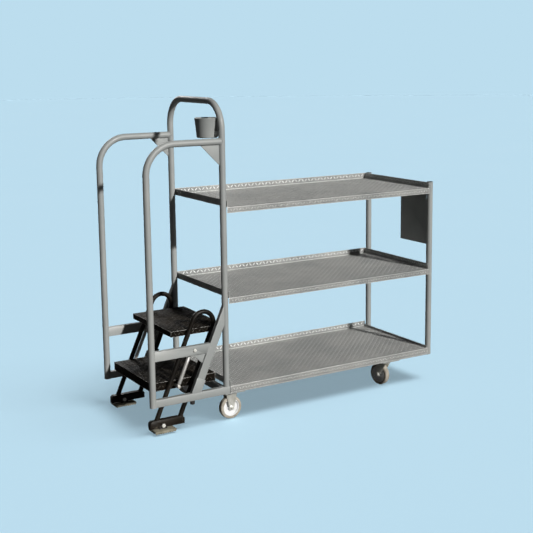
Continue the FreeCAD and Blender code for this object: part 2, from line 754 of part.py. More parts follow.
def castor_axle():
    """An axle bolt along Y, with its middle on the wheel's centre."""
    half = D["fork_gap"] + D["fork_sheet"]
    return bolt(D["axle_radius"], (0, -half, D["wheel_radius"]), half * 2, D["bolt_head"])


def swivel_parts(side, sign, angle):
    """The turning half of a swivel castor, at its resting angle."""
    turn = FreeCAD.Rotation(ABOUT_Z, angle)
    spot = (D["swivel_x"], D["castor_y"] * sign, 0)
    foot, low, half = D["fork_foot"], D["crown_bottom"], D["fork_gap"] + D["fork_sheet"]
    front, back, shelf_top = -46, 25, low + D["fork_sheet"]
    outline = [(-D["trail"] - foot, D["wheel_radius"]), (foot - D["trail"], D["wheel_radius"]),
               (back, low + 2), (front, low + 2)]
    crown = join(rod(30, (0, 0, low), 6.7), box((front, -half, low), (back, half, shelf_top)),
                 rod(KINGPIN - D["fit"], (0, 0, low), 18), *fork_legs(outline, -D["trail"]))
    hole = drill(D["axle_radius"], -D["trail"], D["wheel_radius"])
    keep("swivel_fork_" + side, shift(cut(crown, hole), spot, turn))
    axle = shift(castor_axle(), (-D["trail"], 0, 0))
    keep("swivel_axle_" + side, shift(axle, spot, turn))
    tyre, core = wheel()
    for name, piece in (("tyre", tyre), ("wheel", core)):
        centred = shift(piece, (-D["trail"], 0, 0))
        keep("%s_right_%s" % (name, side), shift(centred, spot, turn))


def swivel_plates():
    """Top plates with the bearing housings that the swivel forks turn in."""
    plates = []
    for sign in SIDES.values():
        plate, drills = castor_top_plate(D["swivel_x"], sign)
        spot = (D["swivel_x"], D["castor_y"] * sign, D["castor_height"] - HOUSING_TALL)
        housing = join(plate, rod(HOUSING_RADIUS, spot, HOUSING_TALL))
        plates.append(cut(housing, rod(KINGPIN, spot, HOUSING_TALL * 2), *drills))
    keep("swivel_plates", group(*plates))


def wheel():
    """A tyre with rounded shoulders on a dished wheel, standing on the floor with its axle along Y."""
    outer, half = D["wheel_radius"], D["wheel_half"]
    seat, shoulder, crown = outer - D["tread_depth"], outer - 6, outer - 1.5
    tyre = turned([(seat, -half), (shoulder, -half), (crown, 4 - half), (outer, -6), (outer, 6),
                   (crown, half - 4), (shoulder, half), (seat, half)])
    hub, bore = D["hub_half"], D["axle_radius"] + D["fit"]
    web, rim, boss, neck, dish, lip = 5, 14, 14, 17, seat - 7, seat - 5
    core = turned([(bore, -hub), (boss, -hub), (neck, -web), (dish, -web), (lip, -rim), (seat, -rim),
                   (seat, rim), (lip, rim), (dish, web), (neck, web), (boss, hub), (bore, hub)])
    return [place(piece, (0, 0, outer), ALONG["Y"]) for piece in (tyre, core)]


def fixed_wheels():
    axles = []
    for side, sign in SIDES.items():
        spot = (D["fixed_x"], D["castor_y"] * sign, 0)
        tyre, core = wheel()
        keep("tyre_left_" + side, shift(tyre, spot))
        keep("wheel_left_" + side, shift(core, spot))
        axles.append(shift(castor_axle(), spot))
    keep("fixed_axles", group(*axles))


# ---------------------------------------------------------------- holders

def cup_holder():
    """A tapered open cup and the strap that joins it to the near left post."""
    foot, rim, tall, wall = D["cup_foot"], D["cup_rim"], D["cup_tall"], D["cup_wall"]
    cup = turned([(0, 0), (foot, 0), (rim, tall), (rim - wall, tall), (foot - wall, wall), (0, wall)])
    spot = (D["cup_x"], D["cup_y"], D["cup_bottom"])
    keep("cup_holder", place(cup, spot))
    run_x = DIMENSIONS["cup_x"] - DIMENSIONS["left_x"]
    across = math.atan2(DIMENSIONS["cup_y"] + DIMENSIONS["side_y"], run_x)
    strap = box((0, -D["strap_half"], 0), (D["strap_long"], D["strap_half"], D["strap_tall"]))
    strap = shift(strap, (D["left_x"], -D["side_y"], D["cup_bottom"] + D["strap_low"]),
                  FreeCAD.Rotation(ABOUT_Z, math.degrees(across)))
    shape = cone(foot, rim, spot, tall)
    keep("cup_strap", cut(strap, post_core(D["left_x"], -D["side_y"]), shape))


def document_holder():
    """A sheet pocket at the right end, open at the top, with two tabs on the near right post."""
    near, far, low, top = D["holder_near"], D["holder_far"], D["holder_bottom"], D["holder_top"]
    x, sheet, depth, front_top = D["right_x"] - 1, D["holder_sheet"], D["holder_deep"], top - D["holder_open"]
    back = box((x, near, low), (x + sheet, far, top))
    floor = box((x, near, low), (x + depth, far, low + sheet))
    front = box((x + depth - sheet, near, low), (x + depth, far, front_top))
    ends = [box((x, y, low), (x + depth, y + sheet, front_top)) for y in (near, far - sheet)]
    tabs = [box((x, D["tube_radius"] - D["side_y"], z), (x + sheet, near, z + D["tab_tall"]))
            for z in (low + D["tab_low"], front_top)]
    keep("document_holder", join(back, floor, front, *ends, *tabs))


def lip_screws():
    """Small round-headed screws at the far end of the top deck's left lip."""
    level = BASE_TOP + D["shelf_pitch"] * 2 + D["screw_height"]
    x = D["left_x"] + D["tube_radius"] - D["screw_tall"]
    spots = [(x, D[place_y], level) for place_y in ("screw_inner", "screw_outer")]
    heads = [rod(D["screw_radius"], spot, D["screw_tall"], "X") for spot in spots]
    keep("lip_screws", group(*heads))


# ---------------------------------------------------------------- the whole trolley

def build_frame():
    push_hoop()
    caps = []
    for side, sign in SIDES.items():
        handrail(side, sign)
        caps.append(right_post(side, sign))
        base_rail(side, sign)
    keep("post_caps", group(*caps))
    cross_members()
    handrail_gussets()
    deck("deck_bottom", BASE_TOP, D["low_lip_tall"], D["low_flange_tall"])
    deck("deck_middle", BASE_TOP + D["shelf_pitch"], D["lip_tall"], D["flange_tall"])
    deck("deck_top", BASE_TOP + D["shelf_pitch"] * 2, D["lip_tall"], D["flange_tall"])
    lip_screws()
    cup_holder()
    document_holder()


def build_steps():
    for side, sign in SIDES.items():
        guide(side, sign)
        step_bar(side, sign)
        side_hoop(side, sign)
        foot_bar(side, sign)
        foot_pad(side, sign)
        spring_cylinder(side, sign)
    guide_feet()
    spring_brackets()
    spring_upper_bolts()
    spring_rods()
    spring_lower_bolts()
    treads()
    slides()
    pivot_bolts()


def build_castors():
    castor_mounts()
    fixed_forks()
    fixed_wheels()
    swivel_plates()
    for side, sign in SIDES.items():
        swivel_parts(side, sign, SWIVEL_ANGLE[side])


def check_document():
    """Stop if any object failed to compute or any sub-part has no valid shape."""
    for thing in DOC.Objects:
        if "Invalid" in thing.State or "Error" in thing.State:
            raise RuntimeError("%s (%s) failed: %s" % (thing.Name, thing.Label, thing.State))
    for name, thing in NODES.items():
        shape = thing.Shape
        if shape.isNull() or not shape.isValid() or not shape.Solids:
            raise RuntimeError(name + " has no valid solid")


def write_parts():
    os.makedirs("parts", exist_ok=True)
    for name, thing in NODES.items():
        thing.Shape.exportStep("parts/%s.step" % name)


build_frame()
build_steps()
build_castors()
DOC.recompute()
check_document()
write_parts()
print("%d sub-parts written" % len(NODES))
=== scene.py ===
"""The looks of an order-picking trolley with a step unit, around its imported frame. Metres."""
import json
import math

import bmesh
import bpy
from mathutils import Matrix, Vector


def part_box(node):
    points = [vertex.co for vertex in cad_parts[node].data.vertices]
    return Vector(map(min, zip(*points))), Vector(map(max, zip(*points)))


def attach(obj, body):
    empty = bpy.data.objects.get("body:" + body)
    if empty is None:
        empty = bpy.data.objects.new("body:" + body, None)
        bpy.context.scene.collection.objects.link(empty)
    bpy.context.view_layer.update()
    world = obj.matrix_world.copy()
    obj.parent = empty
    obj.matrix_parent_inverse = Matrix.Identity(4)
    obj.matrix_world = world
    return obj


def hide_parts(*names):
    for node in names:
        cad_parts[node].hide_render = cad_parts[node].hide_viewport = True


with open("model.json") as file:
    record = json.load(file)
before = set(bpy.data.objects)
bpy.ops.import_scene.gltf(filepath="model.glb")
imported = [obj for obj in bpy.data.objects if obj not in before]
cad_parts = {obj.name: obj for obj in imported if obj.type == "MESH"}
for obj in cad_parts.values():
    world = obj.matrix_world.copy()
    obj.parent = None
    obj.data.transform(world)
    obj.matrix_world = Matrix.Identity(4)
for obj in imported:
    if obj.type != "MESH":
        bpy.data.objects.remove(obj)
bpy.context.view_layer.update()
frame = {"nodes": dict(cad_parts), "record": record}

MM = 0.001
LEAN = math.radians(24)
HOOP_BEND, RAIL_BEND, CROWN_BEND = 145 * MM, 155 * MM, 62 * MM
SHEET, FOLD = 2 * MM, 2 * MM
DECK_LIP, LOW_LIP = 35 * MM, 15 * MM
WHEEL_RADIUS, WHEEL_HALF, TYRE_SEAT = 62.5 * MM, 16 * MM, 48 * MM
AXLE_HOLE, FORK_FACE = 5.5 * MM, 21 * MM
CUP_TAPER = 55 / 65
SHOE_PLATE = 2.5 * MM
BEAD, FINE_BEAD = 2.4 * MM, 1.8 * MM
SIDES = ("near", "far")
X_AXIS, Y_AXIS, Z_AXIS = Vector((1, 0, 0)), Vector((0, 1, 0)), Vector((0, 0, 1))

RECORD_SLOT = {part["node"]: part["material_slot"] for part in frame["record"]["subparts"]}
BODY_OF = {node: body for body, nodes in frame["record"]["behaviour"]["bodies"].items() for node in nodes}


# ---------------------------------------------------------------- where the frame is

def low(node):
    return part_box(node)[0]


def high(node):
    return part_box(node)[1]


def middle(node):
    return (low(node) + high(node)) / 2


def extent(node):
    return high(node) - low(node)


TUBE = extent("right_post_near").x / 2
LEFT_X = middle("push_hoop").x
RAIL_X = low("handrail_near").x + TUBE
RIGHT_X = middle("right_post_near").x
SIDE_Y = {"near": middle("base_rail_near").y, "far": middle("base_rail_far").y}
BASE_TOP = high("base_rail_near").z
BASE_BOTTOM = low("base_rail_near").z


# ---------------------------------------------------------------- materials

class Shader:
    """A node material whose textures are measured in metres on the piece itself."""

    def __init__(self, name, metallic=0.0):
        self.material = bpy.data.materials.new(name)
        self.material.use_nodes = True
        self.tree = self.material.node_tree
        self.principled = self.tree.nodes["Principled BSDF"]
        self.principled.inputs["Metallic"].default_value = metallic
        self.place = self.tree.nodes.new("ShaderNodeTexCoord").outputs["Object"]

    def node(self, kind, **inputs):
        made = self.tree.nodes.new(kind)
        for key, value in inputs.items():
            self.feed(made, key.replace("_", " "), value)
        return made

    def feed(self, node, socket, value):
        if isinstance(value, bpy.types.NodeSocket):
            self.tree.links.new(value, node.inputs[socket])
        else:
            node.inputs[socket].default_value = value

    def stretched(self, scale):
        mapping = self.node("ShaderNodeMapping", Vector=self.place)
        mapping.inputs["Scale"].default_value = scale
        return mapping.outputs["Vector"]

    def noise(self, scale, detail=4.0, rough=0.6, where=None):
        made = self.node("ShaderNodeTexNoise", Scale=scale, Detail=detail, Roughness=rough,
                         Vector=where or self.place)
        return made.outputs["Fac"]

    def between(self, value, start, end, low_value=0.0, high_value=1.0):
        made = self.node("ShaderNodeMapRange", Value=value)
        made.inputs["From Min"].default_value = start
        made.inputs["From Max"].default_value = end
        made.inputs["To Min"].default_value = low_value
        made.inputs["To Max"].default_value = high_value
        return made.outputs["Result"]

    def times(self, first, second):
        made = self.node("ShaderNodeMath")
        made.operation = "MULTIPLY"
        for index, value in enumerate((first, second)):
            self.feed(made, index, value)
        return made.outputs[0]

    def mix(self, amount, first, second):
        made = self.tree.nodes.new("ShaderNodeMix")
        made.data_type = "RGBA"
        self.feed(made, 0, amount)
        self.feed(made, 6, first if isinstance(first, bpy.types.NodeSocket) else (*first, 1))
        self.feed(made, 7, second if isinstance(second, bpy.types.NodeSocket) else (*second, 1))
        return made.outputs[2]

    def edges(self, radius):
        """Near 1 on sharp edges and 0 on flat ground."""
        bevel = self.tree.nodes.new("ShaderNodeBevel")
        bevel.samples = 4
        bevel.inputs["Radius"].default_value = radius
        true_normal = self.tree.nodes.new("ShaderNodeNewGeometry").outputs["Normal"]
        dot = self.tree.nodes.new("ShaderNodeVectorMath")
        dot.operation = "DOT_PRODUCT"
        self.tree.links.new(bevel.outputs["Normal"], dot.inputs[0])
        self.tree.links.new(true_normal, dot.inputs[1])
        return self.between(dot.outputs["Value"], 0.985, 0.90)

    def finish(self, colour, roughness, bumps):
        self.feed(self.principled, "Base Color", colour)
        self.feed(self.principled, "Roughness", roughness)
        normal = None
        for height, depth in bumps:
            bump = self.node("ShaderNodeBump", Height=height, Strength=1.0, Distance=depth)
            if normal is not None:
                self.feed(bump, "Normal", normal)
            normal = bump.outputs["Normal"]
        if normal is not None:
            self.feed(self.principled, "Normal", normal)
        return self.material


def paint(name, fresh, dusty, worn_and_highlight_colour, gloss, wear_and_highlight_amount=0.35, scuffs=0.62, rubbed_and_highlight_radius=2.2 * MM, shine=0.5):
    """Powder coat: orange peel, drifts of dust, small scuffs and edges lightened by rubbing; on the black
    treads the light edges are also painted highlights.
    """
    s = Shader(name)
    s.principled.inputs["Specular IOR Level"].default_value = shine
    drift = s.between(s.noise(5, 6), 0.40, 0.66)
    speck = s.between(s.noise(420, 2), 0.35, 0.75)
    scuff = s.between(s.noise(38, 8, 0.72), scuffs, scuffs + 0.06)
    # Edge mask: rubbing on the frame, and painted highlight along the edges of the black treads.
    edge = s.times(s.edges(rubbed_and_highlight_radius), s.between(s.noise(95, 5), 0.42, 0.62, 0, wear_and_highlight_amount))
    colour = s.mix(s.times(drift, 0.8), fresh, dusty)
    colour = s.mix(s.times(speck, 0.18), colour, dusty)
    colour = s.mix(s.times(scuff, wear_and_highlight_amount), colour, worn_and_highlight_colour)
    colour = s.mix(edge, colour, worn_and_highlight_colour)
    roughness = s.between(s.noise(24, 5), 0.3, 0.7, gloss, gloss + 0.22)
    return s.finish(colour, roughness, [(s.noise(650, 2), 0.12 * MM), (s.noise(70, 3), 0.10 * MM)])


def bare_metal(name, bright, dull, gloss, metallic, grain=(30, 30, 900), bump=0.03 * MM):
    """Plated or rolled metal: cloudy patches, fine drawn lines and dull specks."""
    s = Shader(name, metallic)
    cloud = s.between(s.noise(28, 6), 0.35, 0.68)
    speck = s.between(s.noise(260, 3), 0.55, 0.72)
    lines = s.noise(1.0, 3, 0.7, s.stretched(grain))
    colour = s.mix(cloud, bright, dull)
    colour = s.mix(s.times(speck, 0.35), colour, dull)
    roughness = s.between(lines, 0.25, 0.75, gloss, gloss + 0.20)
    return s.finish(colour, roughness, [(lines, bump), (s.noise(300, 2), bump)])


def tread_plate(name, shade=1.0, gloss=0.33):
    """Dull rolled tread plate with scrape marks, a grey bloom, and bright folds: rubbing, and a painted
    highlight where the bends catch the light.
    """
    s = Shader(name, metallic=0.30)
    bloom = s.between(s.noise(3.5, 7, 0.65), 0.38, 0.62)
    mottle = s.between(s.noise(120, 4, 0.75), 0.42, 0.60)
    scrape = s.between(s.noise(1.0, 4, 0.7, s.stretched((14, 260, 260))), 0.60, 0.68)
    tones = [tuple(shade * part for part in tone) for tone in ((0.19, 0.20, 0.20), (0.34, 0.34, 0.33),
                                                               (0.48, 0.49, 0.48), (0.66, 0.67, 0.66))]
    colour = s.mix(bloom, tones[0], tones[1])
    colour = s.mix(s.times(mottle, 0.5), colour, tones[2])
    colour = s.mix(s.times(scrape, 0.5), colour, tones[3])
    # Bright folds: partly rubbing, partly painted highlight where the bends catch the light.
    fold = s.times(s.edges(6 * MM), s.between(s.noise(60, 4), 0.30, 0.55, 0.45, 1.0))
    colour = s.mix(fold, colour, (0.95, 0.97, 0.96))
    roughness = s.between(s.noise(60, 5), 0.3, 0.7, gloss, gloss + 0.2)
    return s.finish(colour, roughness, [(s.noise(420, 3), 0.08 * MM), (scrape, 0.03 * MM)])


def rubber(name, base, dusty, rough=0.78, depth=0.15 * MM):
    """Rubber: matt, with dust in patches and a fine pitted skin."""
    s = Shader(name)
    patch = s.between(s.noise(30, 6), 0.38, 0.66)
    pits = s.noise(500, 3, 0.7)
    colour = s.mix(patch, base, dusty)
    colour = s.mix(s.between(s.noise(170, 3), 0.58, 0.70, 0, 0.5), colour, dusty)
    return s.finish(colour, s.between(pits, 0.3, 0.7, rough, 0.95), [(pits, depth)])


def plastic(name, base, dusty, gloss):
    """Moulded plastic: a slight sparkle from the mould and grime in patches."""
    s = Shader(name)
    grime = s.between(s.noise(36, 6), 0.48, 0.72, 0, 0.7)
    skin = s.noise(700, 2)
    colour = s.mix(grime, base, dusty)
    return s.finish(colour, s.between(s.noise(55, 4), 0.3, 0.7, gloss, gloss + 0.2), [(skin, 0.05 * MM)])


DRAWN = (900, 900, 12)
POLISHED = (900, 900, 20)
MATERIALS = {
    "frame_paint": paint("grey_powder_coat", (0.315, 0.335, 0.335), (0.37, 0.38, 0.37), (0.50, 0.50, 0.48),
                         0.34),
    "tread_plate": tread_plate("tread_plate_sheet"),
    "step_black": paint("black_powder_coat", (0.006, 0.005, 0.004), (0.020, 0.015, 0.010),
                        (0.14, 0.12, 0.095), 0.32, 0.5, 0.60, shine=0.25),
    "zinc": bare_metal("zinc_plate", (0.84, 0.84, 0.79), (0.58, 0.58, 0.52), 0.28, 0.40),
    "spring_silver": bare_metal("spring_tube_silver", (0.80, 0.80, 0.79), (0.62, 0.61, 0.58), 0.24, 0.55,
                                DRAWN),
    "polished_rod": bare_metal("polished_rod_steel", (0.86, 0.86, 0.86), (0.74, 0.74, 0.74), 0.12, 0.8,
                               POLISHED, 0.005 * MM),
    "pad_rubber": rubber("pad_brown_rubber", (0.20, 0.185, 0.135), (0.34, 0.32, 0.25)),
    "black_rubber": rubber("buffer_black_rubber", (0.018, 0.018, 0.018), (0.06, 0.055, 0.05)),
    "grey_tyre": rubber("tyre_grey_rubber", (0.30, 0.27, 0.225), (0.52, 0.48, 0.41), 0.6, 0.06 * MM),
    "light_wheel": plastic("wheel_light_plastic", (0.86, 0.87, 0.88), (0.62, 0.61, 0.58), 0.28),
    "black_plastic": plastic("cap_black_plastic", (0.010, 0.010, 0.009), (0.022, 0.022, 0.019), 0.50),
    "slide_plastic": plastic("slide_dark_plastic", (0.03, 0.03, 0.03), (0.07, 0.065, 0.06), 0.45),
}
# A lighter copy of the sheet's finish for the lugs: painted highlight on the raised pattern.
LUG_PLATE_PAINTED_HIGHLIGHT = tread_plate("tread_plate_lugs_painted_highlight", 1.45, 0.24)
# Near-white lugs along the far lips: painted reflection of the light off the far lip.
LUG_PAINTED_REFLECTION = bare_metal("tread_plate_painted_reflection_lugs", (0.95, 0.97, 0.97), (0.74, 0.76, 0.76), 0.24, 0.2)
# A lighter copy of the zinc plate for bolt heads and washers: painted highlight.
ZINC_PAINTED_GLINT = bare_metal("zinc_bolt_painted_glint", (0.96, 0.96, 0.92), (0.72, 0.72, 0.67), 0.22, 0.25)
# Near-white edges and scuffs on the black treads: partly rubbing, partly painted highlight along the edges
# that catch the light.
TREAD_BLACK = paint("tread_black_coat", (0.006, 0.005, 0.004), (0.018, 0.013, 0.009), (0.66, 0.65, 0.62),
                    0.42, 2.0, 0.67, 5 * MM, 0.04)
TREAD_LUGS = paint("tread_black_lugs", (0.010, 0.009, 0.007), (0.04, 0.033, 0.024), (0.30, 0.29, 0.26),
                   0.38, 0.9, 0.60, shine=0.06)


# ---------------------------------------------------------------- mesh helpers

def mesh_of(name, bm):
    mesh = bpy.data.meshes.new(name)
    bm.to_mesh(mesh)
    bm.free()
    return mesh


def piece(name, bm, body, slot, replaces=(), smooth=35, material=None):
    """Turn a bmesh into a named piece on a body, with its slot's material or one of its own."""
    bmesh.ops.recalc_face_normals(bm, faces=bm.faces)
    return piece_from_mesh(name, mesh_of(name, bm), body, slot, replaces, smooth, material)


def piece_from_mesh(name, mesh, body, slot, replaces=(), smooth=35, material=None):
    """Link a mesh as a piece; edges flatter than the smooth angle are shaded round."""
    mesh.polygons.foreach_set("use_smooth", [True] * len(mesh.polygons))
    mesh.set_sharp_from_angle(angle=math.radians(smooth))
    mesh.materials.clear()
    mesh.materials.append(material or MATERIALS[slot])
    made = bpy.data.objects.new(name, mesh)
    bpy.context.scene.collection.objects.link(made)
    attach(made, body)
    if replaces:
        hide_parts(*replaces)
    return made


def bevelled(mesh, width):
    """Round a mesh's sharp edges, and give back the new mesh."""
    holder = bpy.data.objects.new("bevel_holder", mesh)
    bpy.context.scene.collection.objects.link(holder)
    modifier = holder.modifiers.new("bevel", "BEVEL")
    modifier.width = width
    modifier.segments = 2
    modifier.limit_method = "ANGLE"
    modifier.angle_limit = math.radians(35)
    modifier.use_clamp_overlap = True
    graph = bpy.context.evaluated_depsgraph_get()
    result = bpy.data.meshes.new_from_object(holder.evaluated_get(graph))
    bpy.data.objects.remove(holder)
    return result


def soften(node, width, material=None):
    """Stand in for a CAD node with the same shape, its sharp edges rounded as made edges are."""
    bm = bmesh.new()
    bm.from_mesh(frame["nodes"][node].data)
    bmesh.ops.remove_doubles(bm, verts=bm.verts, dist=0.002 * MM)
    bmesh.ops.dissolve_limit(bm, angle_limit=math.radians(0.5), verts=bm.verts, edges=bm.edges)
    result = bevelled(mesh_of(node, bm), width)
    return piece_from_mesh(node + "_finished", result, BODY_OF[node], RECORD_SLOT[node], [node], 40,
                           material)


def ring_of(centre, across, upwards, radius, sides):
    """Points of a circle with the given two directions."""
    turns = [2 * math.pi * index / sides for index in range(sides)]
    return [centre + across * (radius * math.cos(a)) + upwards * (radius * math.sin(a)) for a in turns]


def sweep(bm, path, radius, sides=28, side_axis=Y_AXIS):
    """Sweep a circle along a path of points that all lie square to side_axis, and close its ends."""
    rings = []
    for index, spot in enumerate(path):
        before, after = path[max(index - 1, 0)], path[min(index + 1, len(path) - 1)]
        upwards = (after - before).normalized().cross(side_axis).normalized()
        rings.append([bm.verts.new(co) for co in ring_of(spot, side_axis, upwards, radius, sides)])
    for first, second in zip(rings, rings[1:]):
        for index in range(sides):
            following = (index + 1) % sides
            bm.faces.new((first[index], first[following], second[following], second[index]))
    bm.faces.new(rings[0])
    bm.faces.new(rings[-1])


def rounded_path(corners, bend, steps=14):
    """The points of a path whose corners are bent to a radius."""
    points = [corners[0]]
    for before, here, after in zip(corners, corners[1:], corners[2:]):
        back, on = (before - here).normalized(), (after - here).normalized()
        half = back.angle(on) / 2
        reach = bend / math.tan(half)
        centre = here + (back + on).normalized() * (bend / math.sin(half))
        first, last = here + back * reach - centre, here + on * reach - centre
        turn = first.angle(last)
        axis = first.cross(last).normalized()
        for step in range(steps + 1):
            points.append(centre + Matrix.Rotation(turn * step / steps, 3, axis) @ first)
    return points + [corners[-1]]


def lathe(bm, outline, place, sides=64):
    """Turn a closed outline of (radius, height) about the place matrix's Z axis."""
    rings = []
    for index in range(sides):
        a = 2 * math.pi * index / sides
        spots = [place @ Vector((r * math.cos(a), r * math.sin(a), h)) for r, h in outline]
        rings.append([bm.verts.new(spot) for spot in spots])
    count = len(outline)
    for index, ring in enumerate(rings):
        following = rings[(index + 1) % sides]
        for edge in range(count):
            after = (edge + 1) % count
            bm.faces.new((ring[edge], ring[after], following[after], following[edge]))
    bmesh.ops.remove_doubles(bm, verts=bm.verts, dist=0.001 * MM)
    loose = [edge for edge in bm.edges if not edge.link_faces]
    bmesh.ops.delete(bm, geom=loose, context="EDGES")


def block(bm, low_corner, high_corner):
    """A box between two corners, whose edges are rounded afterwards."""
    centre = (Vector(low_corner) + Vector(high_corner)) / 2
    size = Vector(high_corner) - Vector(low_corner)
    matrix = Matrix.Translation(centre) @ Matrix.Diagonal((*size, 1))
    bmesh.ops.create_cube(bm, size=1, matrix=matrix)


# ---------------------------------------------------------------- tubes

def push_hoop():
    bm = bmesh.new()
    top = high("push_hoop").z - TUBE
    near, far = SIDE_Y["near"], SIDE_Y["far"]
    bends = ((near, BASE_TOP), (near, top), (far, top), (far, BASE_TOP))
    corners = [Vector((LEFT_X, y, z)) for y, z in bends]
    sweep(bm, rounded_path(corners, HOOP_BEND, 20), TUBE, side_axis=X_AXIS)
    piece("push_hoop_tube", bm, "trolley", "frame_paint", ["push_hoop"], 60)


def handrail(side):
    bm = bmesh.new()
    y, top = SIDE_Y[side], high("handrail_" + side).z - TUBE
    foot = low("handrail_" + side).z
    corners = [Vector((x, y, z)) for x, z in ((RAIL_X, foot), (RAIL_X, top), (LEFT_X, top))]
    sweep(bm, rounded_path(corners, RAIL_BEND, 18), TUBE)
    piece("handrail_tube_" + side, bm, "trolley", "frame_paint", ["handrail_" + side], 60)


def right_post(side):
    bm = bmesh.new()
    node = "right_post_" + side
    centre = middle(node)
    sweep(bm, [Vector((centre.x, centre.y, z)) for z in (low(node).z, high(node).z)], TUBE)
    piece("right_post_tube_" + side, bm, "trolley", "frame_paint", [node], 60)


def side_hoop(side):
    """The leaning stringers and the hand loop over them, down into the foot bar."""
    bm = bmesh.new()
    node = "side_hoop_" + side
    radius = extent(node).y / 2
    crown = high(node) - Vector((1, 0, 1)) * (CROWN_BEND + radius)
    crown.y = middle(node).y
    across = Vector((math.cos(LEAN), 0, -math.sin(LEAN)))
    upwards = Vector((math.sin(LEAN), 0, math.cos(LEAN)))
    feet = [crown + across * (CROWN_BEND * sign) for sign in (1, -1)]
    floor = high("foot_bar_" + side).z - radius
    feet = [foot - upwards * ((foot.z - floor) / upwards.z) for foot in feet]
    shoulders = [foot + upwards * ((crown - foot).dot(upwards)) for foot in feet]
    arc = [crown + across * (CROWN_BEND * math.cos(a)) + upwards * (CROWN_BEND * math.sin(a))
           for a in [math.pi * step / 28 for step in range(29)]]
    sweep(bm, [feet[0], shoulders[0], *arc[1:-1], shoulders[1], feet[1]], radius, 24)
    piece("side_hoop_tube_" + side, bm, "step_unit", "step_black", [node], 60)


# ---------------------------------------------------------------- folded sheets and tread plate

LUG_LONG, LUG_WIDE, LUG_TALL = 19 * MM, 6 * MM, 1.2 * MM
LUG_PITCH = 18 * MM


def lug_shape(long, wide, tall, steps=4):
    """A lens-shaped raised lug lying on the XY plane: points and faces."""
    half = [(-long / 2 + long * step / steps) for step in range(steps + 1)]
    upper = [(x, wide / 2 * (1 - (2 * x / long) ** 2)) for x in half]
    outline = upper + [(x, -y) for x, y in reversed(upper[1:-1])]
    points = [(x, y, 0) for x, y in outline] + [(x * 0.72, y * 0.55, tall) for x, y in outline]
    count = len(outline)
    faces = [(i, (i + 1) % count, (i + 1) % count + count, i + count) for i in range(count)]
    return points, faces + [tuple(range(count, 2 * count))]


def lug_field(origin, right, upwards, wide, tall, pitch, scale=1.0):
    """Lugs at alternate slants over a rectangle of sheet: origin is its corner."""
    shape, faces = lug_shape(LUG_LONG * scale, LUG_WIDE * scale, LUG_TALL * min(scale, 1))
    out = right.cross(upwards)
    columns, rows = max(1, int(wide / pitch)), max(1, int(tall / pitch))
    edge_x, edge_y = (wide - (columns - 1) * pitch) / 2, (tall - (rows - 1) * pitch) / 2
    points, polygons = [], []
    for column in range(columns):
        for row in range(rows):
            slant = math.radians(45 if (column + row) % 2 else -45)
            c, s = math.cos(slant), math.sin(slant)
            spot = origin + right * (edge_x + column * pitch) + upwards * (edge_y + row * pitch)
            start = len(points)
            points += [spot + right * (x * c - y * s) + upwards * (x * s + y * c) + out * z
                       for x, y, z in shape]
            polygons += [tuple(start + index for index in face) for face in faces]
    return points, polygons


def lug_piece(name, fields, body, slot, material):
    """Join fields of lugs into one piece."""
    points, polygons = [], []
    for field_points, field_polygons in fields:
        start = len(points)
        points += field_points
        polygons += [tuple(start + index for index in polygon) for polygon in field_polygons]
    mesh = bpy.data.meshes.new(name)
    mesh.from_pydata(points, [], polygons)
    return piece_from_mesh(name, mesh, body, slot, smooth=25, material=material)


def folded_strip(bm, start, end, sideways, profile):
    """A bent sheet: a profile of (sideways, up) points, thickened to its left, run from start to end."""
    line = [Vector(spot) for spot in profile]
    other = []
    for index, spot in enumerate(line):
        before, after = line[max(index - 1, 0)], line[min(index + 1, len(line) - 1)]
        along = (after - before).normalized()
        other.append(spot + Vector((-along.y, along.x)) * SHEET)
    outline = line + other[::-1]
    loops = [[bm.verts.new(spot + sideways * p.x + Z_AXIS * p.y) for p in outline] for spot in (start, end)]
    count = len(outline)
    for index in range(count):
        following = (index + 1) % count
        bm.faces.new((loops[0][index], loops[0][following], loops[1][following], loops[1][index]))
    for loop in loops:
        bm.faces.new(loop)


def fold_arc(centre, radius, start, end, steps=5):
    """Points of a fold in a profile."""
    angles = [math.radians(start + (end - start) * step / steps) for step in range(steps + 1)]
    return [(centre[0] + radius * math.cos(a), centre[1] + radius * math.sin(a)) for a in angles]


def deck(node, right_lip):
    """A tread-plate tray: a flat floor, the near flange down, and lips up on the other three sides."""
    lo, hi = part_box(node)
    floor = hi.z - DECK_LIP
    wide, flange = hi.y - lo.y, floor - lo.z
    bm = bmesh.new()
    across = [(SHEET, -flange)] + fold_arc((SHEET + FOLD, -FOLD), FOLD, 180, 90)
    across += fold_arc((wide - FOLD, FOLD), FOLD, -90, 0) + [(wide, DECK_LIP)]
    ends = [Vector((x, lo.y, floor)) for x in (lo.x, hi.x)]
    folded_strip(bm, *ends, Y_AXIS, across)
    for x, sideways, tall in ((lo.x, X_AXIS, DECK_LIP), (hi.x, -X_AXIS, right_lip)):
        profile = [(0, tall)] + fold_arc((FOLD, FOLD), FOLD, 180, 270) + [(SHEET + FOLD, 0)]
        ends = [Vector((x, y, floor)) for y in (lo.y + SHEET, hi.y - SHEET - FOLD)]
        folded_strip(bm, *ends, sideways, profile)
    piece(node + "_sheet", bm, "trolley", "tread_plate", [node], 30)
    deck_lugs(node, lo, hi, floor, flange, right_lip)


